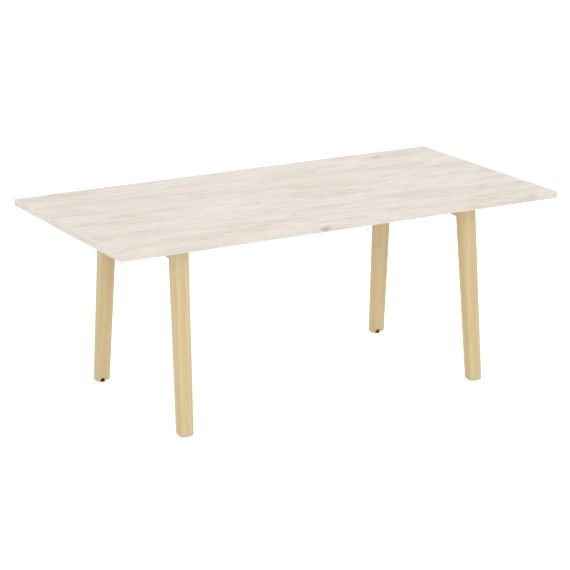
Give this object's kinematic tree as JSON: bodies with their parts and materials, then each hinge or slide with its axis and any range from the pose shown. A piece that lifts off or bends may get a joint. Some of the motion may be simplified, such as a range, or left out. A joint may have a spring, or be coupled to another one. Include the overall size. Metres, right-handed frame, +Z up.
{
  "type": "communion table",
  "caption": "Plain rectangular communion table: bleached-oak board top on a hidden steel frame, with splayed pale wood legs and black levelling feet.",
  "frame": {"origin": "on the floor under the centre of the table", "axes": "+X along the length to the right-hand end, +Y from the front long side to the back one, +Z up"},
  "size_m": [1.8, 0.9, 0.722],
  "materials": {
    "oak_decor": "matt melamine, bleached-oak decor",
    "edge_band": "matt plastic in the oak decor",
    "leg_wood": "matt lacquered pale hardwood",
    "frame_paint": "fine-textured silver-grey powder coat",
    "zinc_steel": "bright zinc plate",
    "black_zinc": "black zinc plate",
    "black_plastic": "moulded black nylon"
  },
  "bodies": {
    "table": {"tabletop_board": "oak_decor", "edge_band_front": "edge_band", "edge_band_back": "edge_band", "edge_band_left": "edge_band", "edge_band_right": "edge_band", "end_rail_left": "frame_paint", "end_rail_right": "frame_paint", "long_rail_front": "frame_paint", "long_rail_back": "frame_paint", "leg_front_left": "leg_wood", "leg_front_right": "leg_wood", "leg_back_left": "leg_wood", "leg_back_right": "leg_wood", "leg_inserts": "zinc_steel", "leg_bolts": "zinc_steel", "leg_bolt_washers": "zinc_steel", "rail_bolts": "zinc_steel", "rail_bolt_washers": "zinc_steel", "rail_nuts": "zinc_steel", "top_screws": "zinc_steel", "foot_inserts": "black_zinc"},
    "foot_front_left": {"foot_pad_front_left": "black_plastic"},
    "stud_front_left": {"foot_stud_front_left": "black_zinc"},
    "foot_front_right": {"foot_pad_front_right": "black_plastic"},
    "stud_front_right": {"foot_stud_front_right": "black_zinc"},
    "foot_back_left": {"foot_pad_back_left": "black_plastic"},
    "stud_back_left": {"foot_stud_back_left": "black_zinc"},
    "foot_back_right": {"foot_pad_back_right": "black_plastic"},
    "stud_back_right": {"foot_stud_back_right": "black_zinc"}
  },
  "joints": [
    {"name": "foot_front_left_height", "type": "slide", "parent": "table", "child": "foot_front_left", "axis": [0, 0, -1], "range_m": [-0.002, 0.01]},
    {"name": "foot_front_left_screw", "type": "hinge", "parent": "foot_front_left", "child": "stud_front_left", "pos_m": [-0.615, -0.338, 0.0048], "axis": [0, 0, -1], "range_deg": [-576, 2880]},
    {"name": "foot_front_right_height", "type": "slide", "parent": "table", "child": "foot_front_right", "axis": [0, 0, -1], "range_m": [-0.002, 0.01]},
    {"name": "foot_front_right_screw", "type": "hinge", "parent": "foot_front_right", "child": "stud_front_right", "pos_m": [0.615, -0.338, 0.0048], "axis": [0, 0, -1], "range_deg": [-576, 2880]},
    {"name": "foot_back_left_height", "type": "slide", "parent": "table", "child": "foot_back_left", "axis": [0, 0, -1], "range_m": [-0.002, 0.01]},
    {"name": "foot_back_left_screw", "type": "hinge", "parent": "foot_back_left", "child": "stud_back_left", "pos_m": [-0.615, 0.338, 0.0048], "axis": [0, 0, -1], "range_deg": [-576, 2880]},
    {"name": "foot_back_right_height", "type": "slide", "parent": "table", "child": "foot_back_right", "axis": [0, 0, -1], "range_m": [-0.002, 0.01]},
    {"name": "foot_back_right_screw", "type": "hinge", "parent": "foot_back_right", "child": "stud_back_right", "pos_m": [0.615, 0.338, 0.0048], "axis": [0, 0, -1], "range_deg": [-576, 2880]}
  ],
  "couplings": [
    {"joint": "foot_front_left_screw", "follows": "foot_front_left_height", "rad_per_m": 5026.5},
    {"joint": "foot_front_right_screw", "follows": "foot_front_right_height", "rad_per_m": 5026.5},
    {"joint": "foot_back_left_screw", "follows": "foot_back_left_height", "rad_per_m": 5026.5},
    {"joint": "foot_back_right_screw", "follows": "foot_back_right_height", "rad_per_m": 5026.5}
  ]
}
